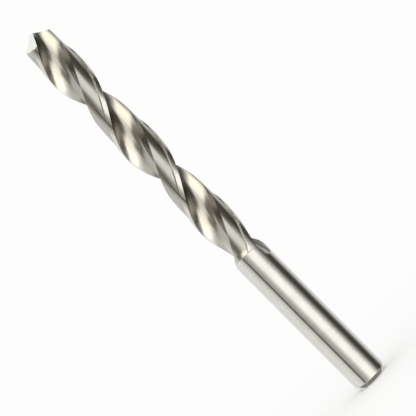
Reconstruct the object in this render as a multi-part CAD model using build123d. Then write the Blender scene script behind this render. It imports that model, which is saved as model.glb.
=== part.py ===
from build123d import *
from math import asin, ceil, cos, degrees, pi, radians, sin, sqrt, tan
import os

# A jobber-length twist drill, 12 mm, ground from one bar of high-speed steel.
# It stands on the flat end of its shank: the origin is the centre of that face, and +Z runs along
# the axis to the point. Lengths are in millimetres and angles in degrees.

# Overall
drill_diameter = 12.0
shank_diameter = 11.6       # ground a little smaller than the body
overall_length = 151.0
flute_length = 100.0        # point to the end of the flutes' run-out
body_length = 94.8          # point to the shoulder where the shank starts
collar_width = 0.6          # full-diameter band between that shoulder and the relief of the lands
shank_chamfer = 1.6         # 45 degree chamfer round the shank's end

# Flutes and lands
helix_angle = 30.3          # right hand, at the outside diameter
web_thickness = 1.9         # core left between the two flutes
land_angle = 72.0           # leading edge to heel, round the axis
margin_width = 1.65         # full-diameter strip behind each leading edge
margin_step = 0.35          # width of the slope from the margin down to the relieved land
body_clearance = 0.55       # depth of the relieved land below the margin
heel_wall_angle = 22.0      # how far the flute's back wall leans over the flute, from radial
runout_length = 14.5        # stretch in which the grinding wheel leaves the flute
runout_direction = 75.0     # where the wheel leaves, round the axis from the leading edge

# Point
point_angle = 118.0
lip_relief = 9.0            # fall of each flank behind its lip
flank_cone_angle = 75.0     # half angle of the cone that the flank is part of
flank_cone_offset = 2.0     # from the drill's axis to the cone's apex, along the lip

# Cutting tools: how finely they are shaped, and how far they reach past the metal
wall_shares = (1.2, 1.0, 0.6, 0.3, 0.1, 0.0)    # points of the front wall, in flute depths
runout_shares = (1.1, 0.9, 0.7, 0.5, 0.3, 0.1)  # stations of the run-out, from its far end back
twist_step = 15.0                               # turn between stations of the helix
spare = 2.0

radius = drill_diameter / 2
shank_radius = shank_diameter / 2
relieved_radius = radius - body_clearance
half_web = web_thickness / 2
flute_depth = radius - half_web
lead = pi * drill_diameter / tan(radians(helix_angle))
corner_angle = degrees(asin(half_web / radius))     # outer corner, from the lip's own direction
heel_angle = corner_angle + 180 - land_angle
lips = (0.0, 180.0)                                 # directions of the two lips, half a turn apart

half_point = radians(point_angle / 2)
lip_fall = 1 / tan(half_point)                      # drop of the lip for each millimetre outward
lip_reach = sqrt(radius**2 - half_web**2)           # outer end of the lip, measured along the lip
flank_curve = flank_cone_offset * tan(radians(flank_cone_angle)) / sin(half_point)
flank_drop = half_web * tan(radians(lip_relief)) + half_web**2 / (2 * flank_curve)
chisel_drop = flank_drop / sin(half_point)          # chisel edge below the lips' inner ends

corner_z = overall_length + chisel_drop - lip_fall * lip_reach
shoulder_z = overall_length - body_length
collar_z = shoulder_z + radius - shank_radius
relief_end_z = collar_z + collar_width
runout_end_z = overall_length - flute_length
runout_start_z = runout_end_z + runout_length


def polar(distance, angle):
    """A point in a plane square to the axis."""
    return Vector(distance * cos(radians(angle)), distance * sin(radians(angle)))


def turn_at(height):
    """How far the helix has turned at this height; the outer corners are at no turn."""
    return 360 * (height - corner_z) / lead


def cutting_face(distance):
    """A point of the flute's front wall in the plane through the outer corners.

    It is where the helix that passes through the straight lip crosses that plane, so the wall and
    the flank meet in a straight lip."""
    along_lip = sqrt(max(distance**2 - half_web**2, 0))
    lip_angle = degrees(asin(min(half_web / distance, 1)))
    return polar(distance, lip_angle - 360 * (lip_reach - along_lip) * lip_fall / lead)


def flute_section():
    """Front wall, floor and back wall of a flute, closed by a fan outside the metal."""
    front = [cutting_face(half_web + flute_depth * share) for share in wall_shares]
    heel = polar(relieved_radius, heel_angle)
    back_direction = polar(1, heel_angle - heel_wall_angle)
    back_end = heel + back_direction * spare
    wall = Edge.make_spline(
        [*front, heel, back_end], tangents=[front[1] - front[0], back_direction]
    )
    outside = polar(drill_diameter, (corner_angle + heel_angle) / 2)
    closing = Polyline(back_end, outside, front[0])
    return Face(Wire([wall, *closing.edges()]))


def twisted(section, heights, shift=lambda height: Vector()):
    """A tool body: the section turned with the helix at each height, lowest first."""
    places = [
        Location((0, 0, height)) * Rot(Z=turn_at(height)) * Pos(shift(height)) for height in heights
    ]
    return loft([place * section for place in places])


def helix_heights(bottom, top):
    """Heights a twist step or less apart."""
    count = ceil((turn_at(top) - turn_at(bottom)) / twist_step)
    return [bottom + (top - bottom) * step / count for step in range(count + 1)]


def wheel_lift(height):
    """How far the grinding wheel has backed out of the flute, on its curve, at this height."""
    share = max((runout_start_z - height) / runout_length, 0)
    return polar(flute_depth * share**2, corner_angle + runout_direction)


def flute_cutter():
    """The metal taken out for one flute: the section twisted up the drill, lifted at its run-out."""
    runout = [runout_start_z - runout_length * share for share in runout_shares]
    heights = runout + helix_heights(runout_start_z, overall_length + spare)
    return twisted(flute_section(), heights, wheel_lift)


def relief_cutter():
    """The thin layer ground off one land, from behind its margin to past its heel."""
    brow_angle = corner_angle - degrees(margin_width / radius)
    foot_angle = brow_angle - degrees(margin_step / radius)
    past_heel = corner_angle - land_angle - degrees(spare / radius)
    brow, foot = polar(radius, brow_angle), polar(relieved_radius, foot_angle)
    slope = (brow - foot).normalized() * spare
    section = make_face(Polyline(
        foot - slope, brow + slope, polar(drill_diameter, past_heel), polar(half_web, past_heel),
        close=True,
    ))
    band = twisted(section, helix_heights(shoulder_z, overall_length + spare))
    core = Pos(0, 0, overall_length / 2) * Cylinder(relieved_radius, overall_length + 4 * spare)
    stop_height = radius + 2 * spare
    stop = Cone(stop_height, 0, stop_height)
    return band - core - Pos(0, 0, relief_end_z + radius - stop_height / 2) * stop


def flank_cutter():
    """Everything above one flank: the flank is part of a blunt cone that touches the lip."""
    reach = overall_length
    cone_drop = reach / tan(radians(flank_cone_angle))
    outline = Polyline((0, 0), (reach, -cone_drop), (reach, reach), (0, reach), (0, 0))
    above = revolve(Plane.XZ * make_face(outline), Axis.Z)
    along_lip = Vector(sin(half_point), 0, -cos(half_point))
    square_to_lip = Vector(cos(half_point), 0, sin(half_point))
    relief, cone = radians(lip_relief), radians(flank_cone_angle)
    flank_normal = square_to_lip * cos(relief) - Vector(0, sin(relief), 0)
    axis = flank_normal * sin(cone) - along_lip * cos(cone)
    apex = Vector(-flank_cone_offset, half_web, corner_z + (lip_reach + flank_cone_offset) * lip_fall)
    return Plane(apex, z_dir=axis).location * above


def shank_cutter():
    """The ring ground off below the body: it leaves the shank, its chamfer and a 45 degree shoulder."""
    beyond = radius + spare
    outline = Polyline(
        (shank_radius - shank_chamfer - spare, -spare), (shank_radius, shank_chamfer),
        (shank_radius, shoulder_z), (beyond, shoulder_z + beyond - shank_radius), (beyond, -spare),
        close=True,
    )
    return revolve(Plane.XZ * make_face(outline), Axis.Z)


def drill_bit():
    """The whole drill: a round bar, pointed, relieved and fluted on each side alike."""
    bar = extrude(Circle(radius), overall_length + spare)
    for cutter in (flank_cutter(), relief_cutter(), flute_cutter()):
        for lip in lips:
            bar -= Rot(Z=lip) * cutter
    return bar - shank_cutter()


drill = drill_bit()
os.makedirs("parts", exist_ok=True)
export_step(drill, "parts/drill_bit.step")
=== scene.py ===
# %% [markdown]
# # A ground twist drill
#
# This lesson dresses one part, a 12 mm twist drill that stands on the end of its shank. A drill is
# one bar of hardened steel from which grinding wheels have taken metal: a ring off the shank, two
# flanks that make the point, a thin layer off each land, and two helical flutes. The mesh here is
# made by the same cuts.
#
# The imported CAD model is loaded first. It says where the part stands, and it stays the measure of
# the size. Lengths on the drill are in metres.

from math import asin, atan2, ceil, cos, pi, radians, sin, sqrt, tan

import bmesh
import bpy
from mathutils import Matrix, Vector
from mathutils.geometry import interpolate_bezier


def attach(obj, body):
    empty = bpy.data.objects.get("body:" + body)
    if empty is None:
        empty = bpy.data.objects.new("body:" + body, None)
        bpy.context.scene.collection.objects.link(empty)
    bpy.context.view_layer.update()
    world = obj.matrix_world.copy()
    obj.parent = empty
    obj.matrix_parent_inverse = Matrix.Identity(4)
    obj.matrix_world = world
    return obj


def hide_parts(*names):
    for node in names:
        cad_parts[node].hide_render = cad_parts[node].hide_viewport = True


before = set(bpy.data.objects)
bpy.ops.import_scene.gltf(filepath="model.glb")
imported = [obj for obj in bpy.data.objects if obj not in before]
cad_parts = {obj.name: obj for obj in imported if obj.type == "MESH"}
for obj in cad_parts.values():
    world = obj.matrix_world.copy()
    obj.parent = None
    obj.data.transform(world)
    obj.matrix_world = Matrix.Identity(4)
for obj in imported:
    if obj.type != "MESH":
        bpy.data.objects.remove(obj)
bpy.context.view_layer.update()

# %% [markdown]
# ## The sizes of the drill
#
# These are the sizes that a drill maker would give. The rest follows from them: the lead, which is
# how far the helix climbs in one turn, comes from the helix angle, and the height of the outer
# corners comes from the point angle. A size that only one cut needs is named beside that cut.

# %% Sizes
MM = 0.001
drill_radius = 6.0 * MM
shank_radius = 5.8 * MM
overall_length = 151.0 * MM
body_length = 94.8 * MM
helix_angle = radians(30.3)
half_web = 0.95 * MM

half_point = radians(59)
lip_relief = radians(9)
flank_cone_angle = radians(75)
flank_cone_offset = 2.0 * MM

lead = 2 * pi * drill_radius / tan(helix_angle)
corner_angle = asin(half_web / drill_radius)
lip_fall = 1 / tan(half_point)
lip_reach = sqrt(drill_radius**2 - half_web**2)
flank_curve = flank_cone_offset * tan(flank_cone_angle) / sin(half_point)
flank_drop = half_web * tan(lip_relief) + half_web**2 / (2 * flank_curve)
corner_z = overall_length + flank_drop / sin(half_point) - lip_fall * lip_reach
shoulder_z = overall_length - body_length
print("lead", round(lead / MM, 2), "mm; outer corners at", round(corner_z / MM, 2), "mm")

# %% [markdown]
# ## The bar
#
# The blank is a turned bar: a shank a little thinner than the body, a 45 degree chamfer at its
# end, and a short 45 degree shoulder where the body starts. A cylinder could be cut down to this,
# but one outline that is spun round the axis has all of it at once. The two turned edges of the
# chamfer get a small bevel, as a deburring stone leaves. A ring of vertices close to each end of
# the shank keeps the bevel's shading off the long plain cylinder.

# %% Helpers for meshes
same_point = 1e-8


def wire(bm, points, closed=False):
    """Joins points by edges and gives back the vertices and edges."""
    verts = [bm.verts.new(point) for point in points]
    pairs = list(zip(verts, verts[1:]))
    if closed:
        pairs.append((verts[-1], verts[0]))
    return verts, [bm.edges.new(pair) for pair in pairs]


def spin_round(bm, outline, sides):
    """A body of revolution about Z, from an outline that starts and ends on the axis."""
    verts, edges = wire(bm, outline)
    bmesh.ops.spin(bm, geom=verts + edges, cent=(0, 0, 0), axis=(0, 0, 1), angle=2 * pi,
                   steps=sides, use_merge=True)


def new_piece(name, bm):
    """Merges doubles, turns the faces outwards and makes the mesh an object."""
    bmesh.ops.remove_doubles(bm, verts=bm.verts, dist=same_point)
    bmesh.ops.recalc_face_normals(bm, faces=bm.faces)
    mesh = bpy.data.meshes.new(name)
    bm.to_mesh(mesh)
    bm.free()
    piece = bpy.data.objects.new(name, mesh)
    bpy.context.scene.collection.objects.link(piece)
    return piece


# %% Bar
bar_sides = 256
shank_chamfer = 1.6 * MM
edge_break = 0.12 * MM
support = 0.3 * MM
spare = 2.0 * MM
cut_top = overall_length + spare
touching = 1e-7

outline = [
    (0, 0, 0), (shank_radius - shank_chamfer, 0, 0), (shank_radius, 0, shank_chamfer),
    (shank_radius, 0, shank_chamfer + support), (shank_radius, 0, shoulder_z - support),
    (shank_radius, 0, shoulder_z), (drill_radius, 0, shoulder_z + drill_radius - shank_radius),
    (drill_radius, 0, cut_top), (0, 0, cut_top),
]
bm = bmesh.new()
spin_round(bm, outline, bar_sides)
bmesh.ops.remove_doubles(bm, verts=bm.verts, dist=same_point)


def is_ring(edge, height):
    """Whether an edge belongs to the ring round the axis at this height."""
    return all(abs(vert.co.z - height) < touching and vert.co.xy.length > touching
               for vert in edge.verts)


chamfer_rings = [edge for edge in bm.edges if is_ring(edge, 0) or is_ring(edge, shank_chamfer)]
bmesh.ops.bevel(bm, geom=chamfer_rings, offset=edge_break, offset_type="OFFSET", affect="EDGES",
                segments=3, profile=0.5, material=-1, clamp_overlap=True)
bar = new_piece("drill_steel", bm)
print("bar:", len(bar.data.polygons), "faces")

# %% [markdown]
# ## Wheel paths
#
# What a wheel takes away is a closed section that rises along the helix. A screw modifier could
# twist it, but the spin operator does the same inside the bmesh, where its dvec gives the rise,
# and the lower end stays free to be shaped further.
#
# The flute's front wall is the set of points whose helices pass through the straight lip, so the
# lip comes out straight. The back wall sweeps from the web to the heel in one Bezier curve and
# leans over the flute there. Below the flute proper the wheel backs out on a curve, and the
# section moves away from the axis faster and faster until it leaves the metal.

# %% Helpers for the helix
twist_step = radians(2)


def turn_at(height):
    """Turn of the helix at a height; the outer corners are at no turn."""
    return 2 * pi * (height - corner_z) / lead


def polar(distance, angle):
    """A point round the axis."""
    return Vector((distance * cos(angle), distance * sin(angle), 0))


def arc(distance, start, end, count):
    """Points round the axis, from one angle to another."""
    return [polar(distance, start + (end - start) * step / count) for step in range(count + 1)]


def spin_up(bm, points, bottom, lip):
    """Spins a closed section up the helix, caps its top and gives back its lower edges."""
    verts, edges = wire(bm, points, closed=True)
    start = Matrix.Translation((0, 0, bottom)) @ Matrix.Rotation(turn_at(bottom) + lip, 4, "Z")
    bmesh.ops.transform(bm, matrix=start, verts=verts)
    path_turn = turn_at(cut_top) - turn_at(bottom)
    steps = ceil(path_turn / twist_step)
    spun = bmesh.ops.spin(bm, geom=verts + edges, cent=(0, 0, 0), axis=(0, 0, 1),
                          angle=path_turn, dvec=(0, 0, (cut_top - bottom) / steps), steps=steps)
    top_edges = [item for item in spun["geom_last"] if isinstance(item, bmesh.types.BMEdge)]
    bmesh.ops.contextual_create(bm, geom=top_edges)
    return edges


def extrude_ring(bm, edges):
    """Extrudes a ring of edges and gives back the new ring's vertices and edges."""
    grown = bmesh.ops.extrude_edge_only(bm, edges=edges)["geom"]
    ring = [item for item in grown if isinstance(item, bmesh.types.BMVert)]
    rim = [item for item in grown if isinstance(item, bmesh.types.BMEdge)
           and all(vert in grown for vert in item.verts)]
    return ring, rim


body_turn = turn_at(cut_top) - turn_at(shoulder_z)
print("the wheels turn over the body by", round(body_turn / radians(1)), "degrees")

# %% Section of a flute
land_angle = radians(72)
body_clearance = 0.55 * MM
heel_wall_angle = radians(22)
relieved_radius = drill_radius - body_clearance
heel_angle = corner_angle + pi - land_angle

wall_points = 22
floor_points = 26
wall_reach = 1.24 * lip_reach
beside_web = 0.05 * MM
web_pull = 1.3
heel_pull = 0.8

outside_radius = 2 * drill_radius
outside_steps = 4
past_heel_turn = radians(15)
before_lip_turn = radians(25)


def front_wall(along_lip):
    """Where the helix through a point of the lip crosses the plane of the outer corners."""
    back_turn = 2 * pi * (lip_reach - along_lip) * lip_fall / lead
    return Matrix.Rotation(-back_turn, 3, "Z") @ Vector((along_lip, half_web, 0))


def flute_section():
    """Front wall, floor and back wall, closed outside the metal; the pulls are in mm."""
    front = [front_wall(wall_reach * (1 - step / wall_points)) for step in range(wall_points + 1)]
    web, heel = front[-1], polar(relieved_radius, heel_angle)
    along_web = (web - front_wall(beside_web)).normalized()
    back_lean = polar(1, heel_angle - heel_wall_angle)
    floor = interpolate_bezier(web, web + along_web * web_pull * MM,
                               heel - back_lean * heel_pull * MM, heel, floor_points)
    outside = arc(outside_radius, heel_angle + past_heel_turn, corner_angle - before_lip_turn,
                  outside_steps)
    return front + floor[1:] + [heel + back_lean * spare] + outside


section = flute_section()
web_point = [round(value / MM, 3) for value in section[wall_points]]
print("flute section:", len(section), "points; web point", web_point)

# %% Path of a flute wheel
flute_length = 100.0 * MM
runout_length = 14.5 * MM
runout_direction = radians(75)
runout_steps = 26
runout_reach = 1.1 * runout_length
runout_start_z = overall_length - flute_length + runout_length
flute_depth = drill_radius - half_web
lips = (0, pi)


def wheel_lift(height):
    """How far the wheel has backed out of the flute, on its curve, at this height."""
    share = max((runout_start_z - height) / runout_length, 0)
    return polar(flute_depth * share**2, corner_angle + runout_direction)


def flute_wheel(lip):
    """The metal of one flute, with its run-out."""
    bm = bmesh.new()
    height, rim = runout_start_z, spin_up(bm, section, runout_start_z, lip)
    for step in range(1, runout_steps + 1):
        lower = runout_start_z - runout_reach * step / runout_steps
        ring, rim = extrude_ring(bm, rim)
        bmesh.ops.rotate(bm, verts=ring, cent=(0, 0, 0),
                         matrix=Matrix.Rotation(turn_at(lower) - turn_at(height), 3, "Z"))
        lift = wheel_lift(lower) - wheel_lift(height)
        slide = Matrix.Rotation(turn_at(lower) + lip, 3, "Z") @ lift
        bmesh.ops.translate(bm, verts=ring, vec=slide + Vector((0, 0, lower - height)))
        height = lower
    bmesh.ops.contextual_create(bm, geom=rim)
    return new_piece("flute_wheel", bm)


flute_wheels = [flute_wheel(lip) for lip in lips]
print("flute wheels:", [len(wheel.data.polygons) for wheel in flute_wheels])

# %% [markdown]
# ## Relief of the lands
#
# Behind each leading edge a narrow margin keeps the full diameter and guides the drill. The rest
# of the land is ground down by about half a millimetre, and a little more at its two sides, so
# the land is slightly crowned. Toward the shank this layer runs out in a shallow ramp that ends
# at the shoulder. The wheel path is again a section that follows the helix, and one more ring
# below it, made wider, gives the ramp.

# %% Path of the relief wheel
margin_width = 1.65 * MM
margin_step = 0.35 * MM
slope_reach = 5
land_radius = 4.5 * MM
crown_offset = relieved_radius - land_radius
relief_points = 26
ramp_angle = radians(21)
ramp_top_z = shoulder_z + 1.7 * MM
ramp_drop = 2 * spare


def crown(angle):
    """A point of the relieved land, a slightly tighter arc than the bar's own."""
    aside = angle - (corner_angle - land_angle / 2)
    across = sqrt(land_radius**2 - (crown_offset * sin(aside))**2)
    return polar(crown_offset * cos(aside) + across, angle)


def relief_section():
    """The relieved land and the slope up to the margin, closed outside; the reach is in mm."""
    brow_angle = corner_angle - margin_width / drill_radius
    foot_angle = brow_angle - margin_step / drill_radius
    past_heel = corner_angle - land_angle - spare / drill_radius
    brow, foot = polar(drill_radius, brow_angle), crown(foot_angle)
    slope_end = foot + (brow - foot).normalized() * slope_reach * MM
    inner = [crown(past_heel + (foot_angle - past_heel) * step / relief_points)
             for step in range(relief_points + 1)]
    return inner + [slope_end] + arc(outside_radius, foot_angle, past_heel, outside_steps)


def relief_wheel(lip):
    """The thin layer ground off one land, with its ramp."""
    bm = bmesh.new()
    ring, rim = extrude_ring(bm, spin_up(bm, relief_section(), ramp_top_z, lip))
    bmesh.ops.rotate(bm, verts=ring, cent=(0, 0, 0),
                     matrix=Matrix.Rotation(-2 * pi * ramp_drop / lead, 3, "Z"))
    bmesh.ops.translate(bm, verts=ring, vec=(0, 0, -ramp_drop))
    inner_ring = [vert for vert in ring if vert.co.xy.length < drill_radius]
    wider = 1 + ramp_drop * tan(ramp_angle) / relieved_radius
    bmesh.ops.scale(bm, verts=inner_ring, vec=(wider, wider, 1))
    bmesh.ops.contextual_create(bm, geom=rim)
    return new_piece("relief_wheel", bm)


relief_wheels = [relief_wheel(lip) for lip in lips]
print("relief wheels:", [len(wheel.data.polygons) for wheel in relief_wheels])

# %% [markdown]
# ## The point
#
# Each flank is part of a blunt cone that touches the lip and falls away behind it. A grinder
# swings the drill against a flat wheel about such a cone's axis. A tilted flat cut would be
# simpler and clears the lip as well, but the usual point is ground on a cone, which rounds each
# flank a little. Two cones, half a turn apart, leave the chisel edge between them.

# %% Flank cones
flank_sides = 720
flank_reach = 60 * MM


def flank_wheel(lip):
    """Everything above one flank: the cone's apex lies beyond the axis, in line with the lip."""
    cone_drop = flank_reach / tan(flank_cone_angle)
    bm = bmesh.new()
    spin_round(bm, [(0, 0, 0), (flank_reach, 0, -cone_drop), (flank_reach, 0, flank_reach),
                    (0, 0, flank_reach)], flank_sides)
    along_lip = Vector((sin(half_point), 0, -cos(half_point)))
    square_to_lip = Vector((cos(half_point), 0, sin(half_point)))
    flank_normal = square_to_lip * cos(lip_relief) - Vector((0, sin(lip_relief), 0))
    axis = flank_normal * sin(flank_cone_angle) - along_lip * cos(flank_cone_angle)
    apex = Vector((-flank_cone_offset, half_web,
                   corner_z + (lip_reach + flank_cone_offset) * lip_fall))
    place = (Matrix.Rotation(lip, 4, "Z") @ Matrix.Translation(apex)
             @ axis.to_track_quat("Z", "Y").to_matrix().to_4x4())
    bmesh.ops.transform(bm, matrix=place, verts=bm.verts)
    return new_piece("flank_wheel", bm)


flank_wheels = [flank_wheel(lip) for lip in lips]
print("flank cones:", [len(wheel.data.polygons) for wheel in flank_wheels])

# %% [markdown]
# ## Finishes
#
# A drill has four ground finishes. The bar and its margins are ground round the axis and are the
# brightest. The relieved lands are ground the same way and left duller. The flutes are ground
# along the helix, and the flanks across the point. An image of scratches would need unwrapping
# and would blur close up, so each finish is noise that is stretched along the wheel's path. All
# share two node groups: the fine lines that a wheel leaves, and the faint clouding of handled
# steel.


# %% Helpers for nodes
def shader_group(name, inputs, outputs):
    """An empty node group with named float, vector and colour sockets."""
    group = bpy.data.node_groups.new(name, "ShaderNodeTree")
    for label, kind, value in inputs:
        socket = group.interface.new_socket(name=label, in_out="INPUT", socket_type=kind)
        if value is not None:
            socket.default_value = value
    for label, kind in outputs:
        group.interface.new_socket(name=label, in_out="OUTPUT", socket_type=kind)
    return group, group.nodes.new("NodeGroupInput"), group.nodes.new("NodeGroupOutput")


def add(tree, kind, inputs=(), **settings):
    """Adds a node, applies its settings and links or sets its inputs."""
    node = tree.nodes.new(kind)
    for key, value in settings.items():
        setattr(node, key, value)
    for key, value in dict(inputs).items():
        if isinstance(value, bpy.types.NodeSocket):
            tree.links.new(value, node.inputs[key])
        else:
            node.inputs[key].default_value = value
    return node


def maths(tree, operation, *values):
    """The result of one sum."""
    return add(tree, "ShaderNodeMath", dict(enumerate(values)), operation=operation).outputs[0]


def soft_step(tree, value, low, high, **ends):
    """0 up to the low value and 1 from the high one, unless other ends are given."""
    return add(tree, "ShaderNodeMapRange",
               {"Value": value, "From Min": low, "From Max": high, **ends},
               interpolation_type="SMOOTHSTEP").outputs["Result"]


def mixed(tree, share, first, second):
    """The first colour at a share of 0 and the second at 1."""
    return add(tree, "ShaderNodeMix", {"Factor": share, "A": first, "B": second},
               data_type="RGBA").outputs["Result"]


# %% Node group for wheel marks
# Streaks: noise that is long along the grinding direction and short across it.
fine_share = 0.6

wheel_marks, marks_in, marks_out = shader_group(
    "wheel_marks",
    [("Vector", "NodeSocketVector", None), ("Coarse", "NodeSocketFloat", 1.0),
     ("Fine", "NodeSocketFloat", 1.0)],
    [("Height", "NodeSocketFloat"), ("Mask", "NodeSocketFloat")])
coarse = add(wheel_marks, "ShaderNodeTexNoise",
             {"Vector": marks_in.outputs["Vector"], "Scale": marks_in.outputs["Coarse"],
              "Detail": 3.0, "Roughness": 0.55})
fine = add(wheel_marks, "ShaderNodeTexNoise",
           {"Vector": marks_in.outputs["Vector"], "Scale": marks_in.outputs["Fine"],
            "Detail": 4.0, "Roughness": 0.6})
blend = maths(wheel_marks, "MULTIPLY_ADD", fine.outputs["Fac"], fine_share,
              maths(wheel_marks, "MULTIPLY", coarse.outputs["Fac"], 1 - fine_share))
wheel_marks.links.new(blend, marks_out.inputs["Height"])
wheel_marks.links.new(soft_step(wheel_marks, blend, 0.35, 0.65), marks_out.inputs["Mask"])
print("node group:", wheel_marks.name, "with", len(wheel_marks.nodes), "nodes")

# %% Node group for handled steel
# Large soft clouds and the wheel's streaks share in dulling the steel.
clouds_share = 0.5

steel_tone, tone_in, tone_out = shader_group(
    "steel_tone",
    [("Vector", "NodeSocketVector", None), ("Light", "NodeSocketColor", (1, 1, 1, 1)),
     ("Dull", "NodeSocketColor", (1, 1, 1, 1)), ("Streaks", "NodeSocketFloat", 0.5)],
    [("Color", "NodeSocketColor"), ("Clouding", "NodeSocketFloat")])
clouds = add(steel_tone, "ShaderNodeTexNoise",
             {"Vector": tone_in.outputs["Vector"], "Scale": 160.0, "Detail": 4.0,
              "Roughness": 0.6})
clouding = soft_step(steel_tone, clouds.outputs["Fac"], 0.35, 0.7)
dull_share = maths(steel_tone, "MULTIPLY_ADD", clouding, clouds_share,
                   maths(steel_tone, "MULTIPLY", tone_in.outputs["Streaks"], 1 - clouds_share))
toned = mixed(steel_tone, dull_share, tone_in.outputs["Light"], tone_in.outputs["Dull"])
steel_tone.links.new(toned, tone_out.inputs["Color"])
steel_tone.links.new(clouding, tone_out.inputs["Clouding"])
print("node group:", steel_tone.name, "with", len(steel_tone.nodes), "nodes")

# %% Node group for coordinates along the helix
# The surface is unwound: x and y are turned back by the helix's turn at each height.
unwound, unwound_in, unwound_out = shader_group(
    "unwound_helix",
    [("Vector", "NodeSocketVector", None), ("Lead", "NodeSocketFloat", lead)],
    [("Vector", "NodeSocketVector")])
parts = add(unwound, "ShaderNodeSeparateXYZ", {"Vector": unwound_in.outputs["Vector"]})
turns_up = maths(unwound, "DIVIDE", parts.outputs["Z"], unwound_in.outputs["Lead"])
turned_back = add(unwound, "ShaderNodeVectorRotate",
                  {"Vector": unwound_in.outputs["Vector"],
                   "Angle": maths(unwound, "MULTIPLY", -2 * pi, turns_up)},
                  rotation_type="Z_AXIS")
unwound.links.new(turned_back.outputs["Vector"], unwound_out.inputs["Vector"])
print("node group:", unwound.name, "with", len(unwound.nodes), "nodes")

# %% [markdown]
# ## Painted light inside a flute
#
# The base colour is painted darker toward the axis, as painted shade deep in the flute, and
# lighter across the cutting face, as a painted highlight, so it follows two distances: from the
# axis, and across the unwound flute. A flute is also a narrow hollow that reflects itself, and
# there each reflection loses light. A path tracer gives part of that, and Light Path's Is Glossy
# Ray gives the rest as painted shade: the steel is painted darker where it is seen in a reflection.

# %% Painted light inside a flute
core_shade_from, core_shade_to = 1.4 * MM, 4.2 * MM
face_highlight_from, face_highlight_to = 2.6 * MM, 4.4 * MM


def painted_flute_light(tree, colour, place, along, core_shade_colour, face, inner):
    """Paints shade near the axis, a highlight on the cutting face and shade in reflections."""
    flat = add(tree, "ShaderNodeVectorMath", {0: place, 1: (1, 1, 0)}, operation="MULTIPLY")
    reach = add(tree, "ShaderNodeVectorMath", {0: flat.outputs["Vector"]}, operation="LENGTH")
    # Painted shade: the colour is darker toward the axis, deep in the flute.
    away_from_core_shade = soft_step(tree, reach.outputs["Value"], core_shade_from, core_shade_to)
    colour = mixed(tree, away_from_core_shade, core_shade_colour, colour)
    # Painted highlight: the cutting face is lighter across the unwound flute.
    across = add(tree, "ShaderNodeSeparateXYZ", {"Vector": along}).outputs["Y"]
    front = soft_step(tree, maths(tree, "ABSOLUTE", across), face_highlight_from, face_highlight_to)
    colour = mixed(tree, front, colour, face)
    # Painted shade: the steel is darker where it is seen in a reflection.
    second = add(tree, "ShaderNodeLightPath").outputs["Is Glossy Ray"]
    return mixed(tree, second, colour, inner)


# %% A ground finish
fine_marks = 3.7


def ground_finish(name, stretch, light, dull, roughness, depth, follow_helix=False, painted_light=None):
    """Metal with grinding lines; stretch says how short the pattern is along x, y and z.

    Painted light, if any: a flute's core shade, cutting-face highlight and reflection shade."""
    material = bpy.data.materials.new(name)
    material.use_nodes = True
    tree = material.node_tree
    tree.nodes.clear()
    place = along = add(tree, "ShaderNodeTexCoord").outputs["Object"]
    if follow_helix:
        helix = add(tree, "ShaderNodeGroup", {"Vector": place}, node_tree=unwound)
        along = helix.outputs["Vector"]
    stretched = add(tree, "ShaderNodeVectorMath", {0: along, 1: stretch}, operation="MULTIPLY")
    marks = add(tree, "ShaderNodeGroup",
                {"Vector": stretched.outputs["Vector"], "Coarse": 1.0, "Fine": fine_marks},
                node_tree=wheel_marks)
    tone = add(tree, "ShaderNodeGroup",
               {"Vector": place, "Light": light, "Dull": dull, "Streaks": marks.outputs["Mask"]},
               node_tree=steel_tone)
    colour = tone.outputs["Color"]
    if painted_light:
        colour = painted_flute_light(tree, colour, place, along, *painted_light)
    shine = add(tree, "ShaderNodeMapRange",
                {"Value": marks.outputs["Mask"], "To Min": roughness[0], "To Max": roughness[1]})
    bump = add(tree, "ShaderNodeBump",
               {"Height": marks.outputs["Height"], "Strength": 1.0, "Distance": depth})
    steel = add(tree, "ShaderNodeBsdfPrincipled",
                {"Base Color": colour, "Metallic": 1.0,
                 "Roughness": shine.outputs["Result"], "Normal": bump.outputs["Normal"]})
    output = add(tree, "ShaderNodeOutputMaterial")
    tree.links.new(steel.outputs["BSDF"], output.inputs["Surface"])
    return material


# %% The four finishes
MICRON = 0.000001
round_the_axis = (90, 90, 6000)
down_the_flute = (3000, 3000, 60)
across_the_point = (500, 6000, 500)

steel_light = (0.90, 0.885, 0.84, 1)
steel_dull = (0.80, 0.785, 0.74, 1)
land_light = (0.63, 0.615, 0.57, 1)
land_dull = (0.55, 0.535, 0.49, 1)
flute_light = (0.66, 0.64, 0.585, 1)
flute_dull = (0.57, 0.55, 0.50, 1)
# The next three are painted light: shade at a flute's core, a highlight on its face, shade in
# reflections.
flute_painted_core_shade = (0.55, 0.53, 0.475, 1)
flute_painted_face_highlight = (0.78, 0.765, 0.705, 1)
flute_painted_reflection_shade = (0.30, 0.285, 0.25, 1)

round_grinding = ground_finish("round_grinding", round_the_axis, steel_light, steel_dull,
                               (0.10, 0.17), 0.6 * MICRON)
land_grinding = ground_finish("land_grinding", round_the_axis, land_light, land_dull,
                              (0.13, 0.20), 0.6 * MICRON)
flute_grinding_painted_light = ground_finish("flute_grinding_painted_light", down_the_flute, flute_light, flute_dull,
                               (0.16, 0.24), 0.8 * MICRON, follow_helix=True,
                               painted_light=(flute_painted_core_shade, flute_painted_face_highlight, flute_painted_reflection_shade))
flank_grinding = ground_finish("flank_grinding", across_the_point, steel_light, steel_dull,
                               (0.12, 0.22), 1.0 * MICRON)
finishes = (round_grinding, flute_grinding_painted_light, flank_grinding, land_grinding)
print("finishes:", [finish.name for finish in finishes])

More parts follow.
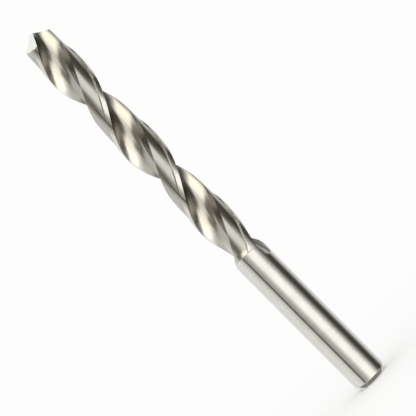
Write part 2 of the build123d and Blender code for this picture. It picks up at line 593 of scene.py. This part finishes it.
# %% A finish for each wheel
# The bar keeps the first finish. A wheel's path gives its own to the faces that it cuts.
for piece in (bar, *flute_wheels, *relief_wheels, *flank_wheels):
    for finish in finishes:
        piece.data.materials.append(finish)
for wheels, finish in ((flute_wheels, flute_grinding_painted_light), (relief_wheels, land_grinding),
                       (flank_wheels, flank_grinding)):
    for wheel in wheels:
        faces = wheel.data.polygons
        faces.foreach_set("material_index", [finishes.index(finish)] * len(faces))
    print(wheels[0].name, "carries", finish.name)

# %% [markdown]
# ## Grinding
#
# The Boolean modifier takes each wheel path out of the bar, and the path's faces bring their own
# finish with them. Modelling the cut surfaces one by one would mean finding their meeting lines
# by hand, which is what the exact solver is for. The result is made a plain mesh. Its faces of
# more than four corners are split, its doubles are merged, and edges sharper than an angle stay
# crisp while everything else is shaded smooth.

# %% Cutting the bar
wheels = flank_wheels + relief_wheels + flute_wheels
for wheel in wheels:
    cut = bar.modifiers.new(wheel.name, "BOOLEAN")
    cut.operation, cut.solver, cut.object = "DIFFERENCE", "EXACT", wheel
depsgraph = bpy.context.evaluated_depsgraph_get()
ground = bpy.data.meshes.new_from_object(bar.evaluated_get(depsgraph), depsgraph=depsgraph)
bar.modifiers.clear()
bar.data = ground
for wheel in wheels:
    bpy.data.objects.remove(wheel)
print("cut drill:", len(ground.polygons), "faces")

# %% Cleaning and shading
sharp_angle = radians(19)
merge_distance = 2e-7
shortest_edge = 1e-7

bm = bmesh.new()
bm.from_mesh(ground)
bmesh.ops.triangulate(bm, faces=[face for face in bm.faces if len(face.verts) > 4])
bmesh.ops.remove_doubles(bm, verts=bm.verts, dist=merge_distance)
bmesh.ops.dissolve_degenerate(bm, edges=bm.edges, dist=shortest_edge)
bmesh.ops.recalc_face_normals(bm, faces=bm.faces)
for face in bm.faces:
    face.smooth = True
for edge in bm.edges:
    edge.smooth = len(edge.link_faces) == 2 and edge.calc_face_angle(0) < sharp_angle
loose = sum(1 for edge in bm.edges if len(edge.link_faces) != 2)
volume = bm.calc_volume() / MM**3
bm.to_mesh(ground)
bm.free()
print("ground drill:", len(ground.polygons), "faces; open or shared edges:", loose,
      "; volume", round(volume), "cubic mm")

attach(bar, "root")
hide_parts("drill_bit")

# %% [markdown]
# ## Camera
#
# A long lens from well away, a little above the drill, and rolled so that the drill lies across
# the frame from corner to corner. Laying the drill down would do the same, but it has to stand
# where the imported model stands.

# %% Camera
view_azimuth, view_elevation, roll = radians(-70.6), radians(8), radians(44.8)
frame_width = 128.04 * MM
aim_aside = 1.108 * MM
aim_height = 74.17 * MM
lens, sensor = 600, 36  # as camera makers give them, in millimetres
clip_end = 100

aim = Vector((cos(view_azimuth) * aim_aside, sin(view_azimuth) * aim_aside, aim_height))
to_camera = Vector((sin(view_azimuth) * cos(view_elevation),
                    -cos(view_azimuth) * cos(view_elevation), sin(view_elevation)))
level_right = Vector((cos(view_azimuth), sin(view_azimuth), 0))
level_up = to_camera.cross(level_right)
camera_right = level_right * cos(roll) - level_up * sin(roll)
camera_up = level_right * sin(roll) + level_up * cos(roll)
camera_distance = frame_width * lens / sensor

camera_data = bpy.data.cameras.new("camera")
camera_data.lens, camera_data.sensor_width, camera_data.clip_end = lens, sensor, clip_end
camera = bpy.data.objects.new("camera", camera_data)
bpy.context.scene.collection.objects.link(camera)
axes = Matrix((camera_right, camera_up, to_camera)).transposed().to_4x4()
camera.matrix_world = Matrix.Translation(aim + to_camera * camera_distance) @ axes
bpy.context.scene.camera = camera
print("camera distance", round(camera_distance, 3), "m")

# %% [markdown]
# ## Floor and studio
#
# Polished steel has no look of its own: it shows the room. Lamps would put small hard spots in
# it, so a world of soft cards lights the drill instead. The floor is pale and stays out of the
# metal's reflections. The cards are masks over the direction of the ray, placed by azimuth and
# elevation about the side of the drill that faces the camera. To the camera the room is plain
# white.

# %% Floor
floor_radius = 12

bm = bmesh.new()
bmesh.ops.create_circle(bm, cap_ends=True, radius=floor_radius, segments=96)
floor = new_piece("floor", bm)
floor_paint = bpy.data.materials.new("floor_paint")
floor_paint.use_nodes = True
paint = floor_paint.node_tree.nodes["Principled BSDF"].inputs
paint["Base Color"].default_value = (0.985, 0.985, 0.98, 1)
paint["Roughness"].default_value = 1.0
paint["Specular IOR Level"].default_value = 0.0
floor.data.materials.append(floor_paint)
floor.visible_glossy = False
print("floor:", floor_radius, "m radius")

# %% Node group for one studio card
card_sockets = ("Azimuth", "Elevation", "Centre", "Half width", "Side blur",
                "Middle", "Half height", "End blur")
card, card_in, card_out = shader_group(
    "studio_card", [(label, "NodeSocketFloat", 0) for label in card_sockets],
    [("Mask", "NodeSocketFloat")])


def soft_band(value, half, blur):
    """1 inside the half width, falling to 0 over the blur."""
    return soft_step(card, maths(card, "ABSOLUTE", value), half, maths(card, "ADD", half, blur),
                     **{"To Min": 1.0, "To Max": 0.0})


sideways = maths(card, "WRAP", maths(card, "SUBTRACT", card_in.outputs["Azimuth"],
                                     card_in.outputs["Centre"]), 180.0, -180.0)
upwards = maths(card, "SUBTRACT", card_in.outputs["Elevation"], card_in.outputs["Middle"])
band = maths(card, "MULTIPLY",
             soft_band(sideways, card_in.outputs["Half width"], card_in.outputs["Side blur"]),
             soft_band(upwards, card_in.outputs["Half height"], card_in.outputs["End blur"]))
card.links.new(band, card_out.inputs["Mask"])
print("node group:", card.name, "with", len(card.nodes), "nodes")

# %% World
world = bpy.data.worlds.new("studio")
bpy.context.scene.world = world
world.use_nodes = True
tree = world.node_tree
tree.nodes.clear()
heading = atan2(to_camera.y, to_camera.x)
direction = add(tree, "ShaderNodeTexCoord").outputs["Generated"]
facing = add(tree, "ShaderNodeVectorRotate", {"Vector": direction, "Angle": -heading},
             rotation_type="Z_AXIS").outputs["Vector"]
split = add(tree, "ShaderNodeSeparateXYZ", {"Vector": facing})
azimuth = maths(tree, "DEGREES", maths(tree, "ARCTAN2", split.outputs["Y"], split.outputs["X"]))
elevation = maths(tree, "DEGREES", maths(tree, "ARCSINE", split.outputs["Z"]))
print("the studio's zero azimuth is at", round(heading / radians(1), 1), "degrees")

# %% Studio cards
# Colour, centre, half width, side blur, middle, half height, end blur; the angles in degrees.
# Azimuths are counted from the camera, and a later card lies over the earlier ones.
cards = [
    ((0.60, 0.59, 0.57), -85, 25, 30, -40, 12, 12),
    ((0.80, 0.80, 0.79), -110, 40, 14, -8, 14, 12),
    ((0.73, 0.73, 0.72), 150, 30, 20, -8, 14, 12),
    ((1.70, 1.64, 1.46), 22, 34, 30, -42, 16, 14),
    ((1.14, 1.12, 1.07), 20, 14, 16, -8, 6, 5),
    ((0.57, 0.56, 0.53), -34, 8, 26, -8.5, 4, 6),
    ((0.24, 0.225, 0.18), -48, 14, 22, 3, 8, 6),
    ((0.27, 0.255, 0.21), -34, 16, 24, -20, 4.5, 7),
    ((0.26, 0.245, 0.20), -60, 14, 20, 13, 9, 11),
    ((0.10, 0.095, 0.08), -48, 2, 9, -9.3, 3, 4),
    ((1.90, 1.82, 1.58), 8, 28, 25, 26, 9, 12),
    ((0.055, 0.05, 0.04), 88, 10, 42, 0, 30, 14),
    ((0.10, 0.09, 0.07), 62, 8, 30, 0, 6, 3.5),
    ((0.18, 0.17, 0.13), 62, 6, 24, -19, 4, 5),
    ((0.16, 0.15, 0.13), 0, 70, 20, 48, 4, 5),
    ((0.20, 0.20, 0.20), 112, 16, 10, 38, 10, 8),
    ((0.22, 0.22, 0.21), 115, 25, 12, 8, 6, 5),
    ((0.24, 0.24, 0.23), 180, 70, 15, -52, 17, 7),
    ((0.22, 0.21, 0.20), 0, 180, 1, -90, 18, 8),
]
room = (1.0, 1.0, 1.0, 1)
colour = room
for tint, *placing in cards:
    held = add(tree, "ShaderNodeGroup",
               dict(zip(card_sockets, (azimuth, elevation, *placing))), node_tree=card)
    colour = mixed(tree, held.outputs["Mask"], colour, (*tint, 1))
reflected = add(tree, "ShaderNodeLightPath").outputs["Is Glossy Ray"]
light = add(tree, "ShaderNodeBackground",
            {"Color": mixed(tree, reflected, room, colour), "Strength": 1.0})
output = add(tree, "ShaderNodeOutputWorld")
tree.links.new(light.outputs["Background"], output.inputs["Surface"])
print("studio cards:", len(cards))

# %% Finish
bpy.context.scene.view_settings.view_transform = "Standard"
